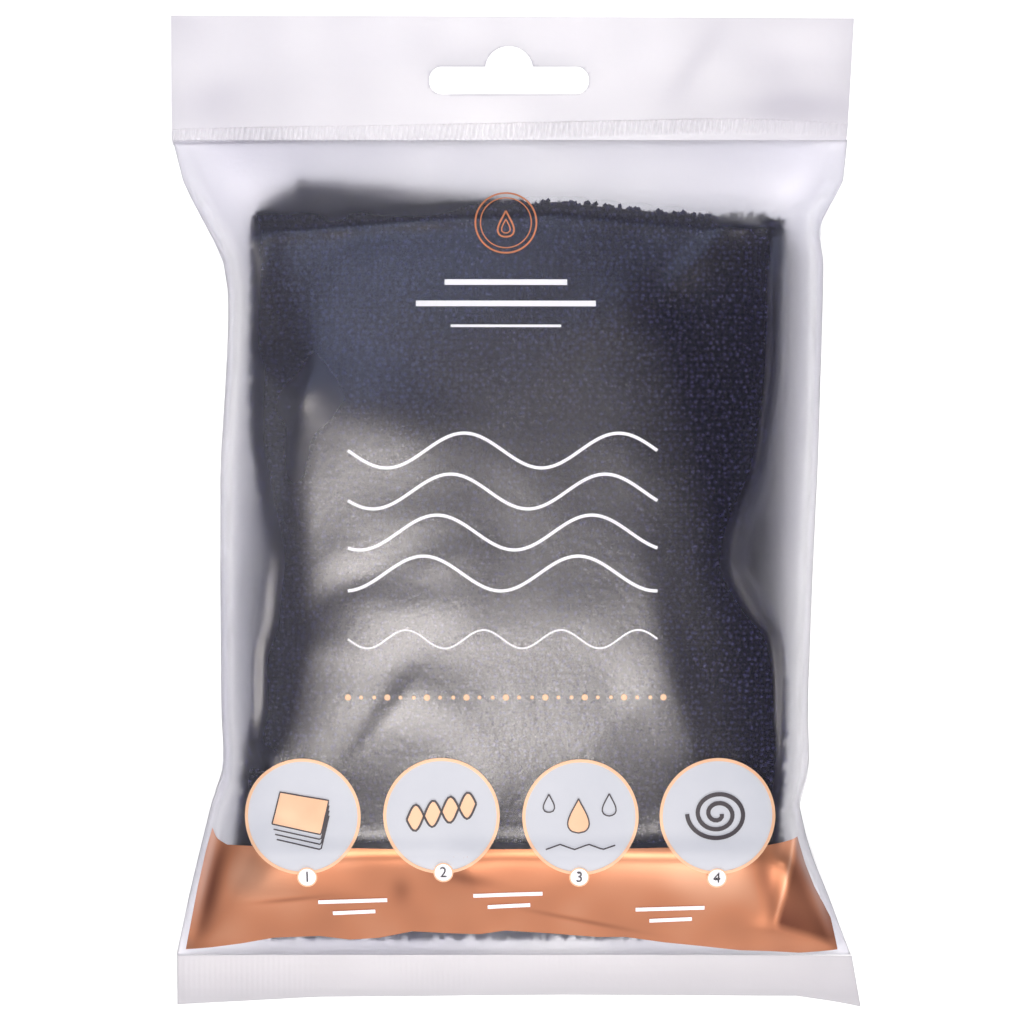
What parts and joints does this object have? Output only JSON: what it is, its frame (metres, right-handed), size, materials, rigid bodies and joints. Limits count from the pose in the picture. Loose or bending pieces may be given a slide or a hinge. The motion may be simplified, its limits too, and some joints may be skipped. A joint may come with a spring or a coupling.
{
  "type": "folded hair turban towel in a frosted hang pouch",
  "caption": "Dark terry hair turban towel folded flat and sealed in a frosted film pouch with a hang slot, lying on its back.",
  "frame": {"origin": "centre of the bounding box on the surface that the packet lies on", "axes": "+X to the right seen from the front, +Y towards the hang header, +Z out of the front, up from the surface"},
  "size_m": [0.137, 0.198, 0.0271],
  "materials": {
    "terry": "soft looped terry, dark blue-grey",
    "frosted_film": "frosted, softly glossy film",
    "copper_print": "satin copper ink",
    "pale_print": "pale blue-grey ink",
    "white_print": "white ink"
  },
  "bodies": {
    "root": {"folded_towel": "terry", "front_film": "frosted_film", "back_film": "frosted_film", "hang_header": "frosted_film", "bottom_seal": "frosted_film"}
  },
  "joints": []
}
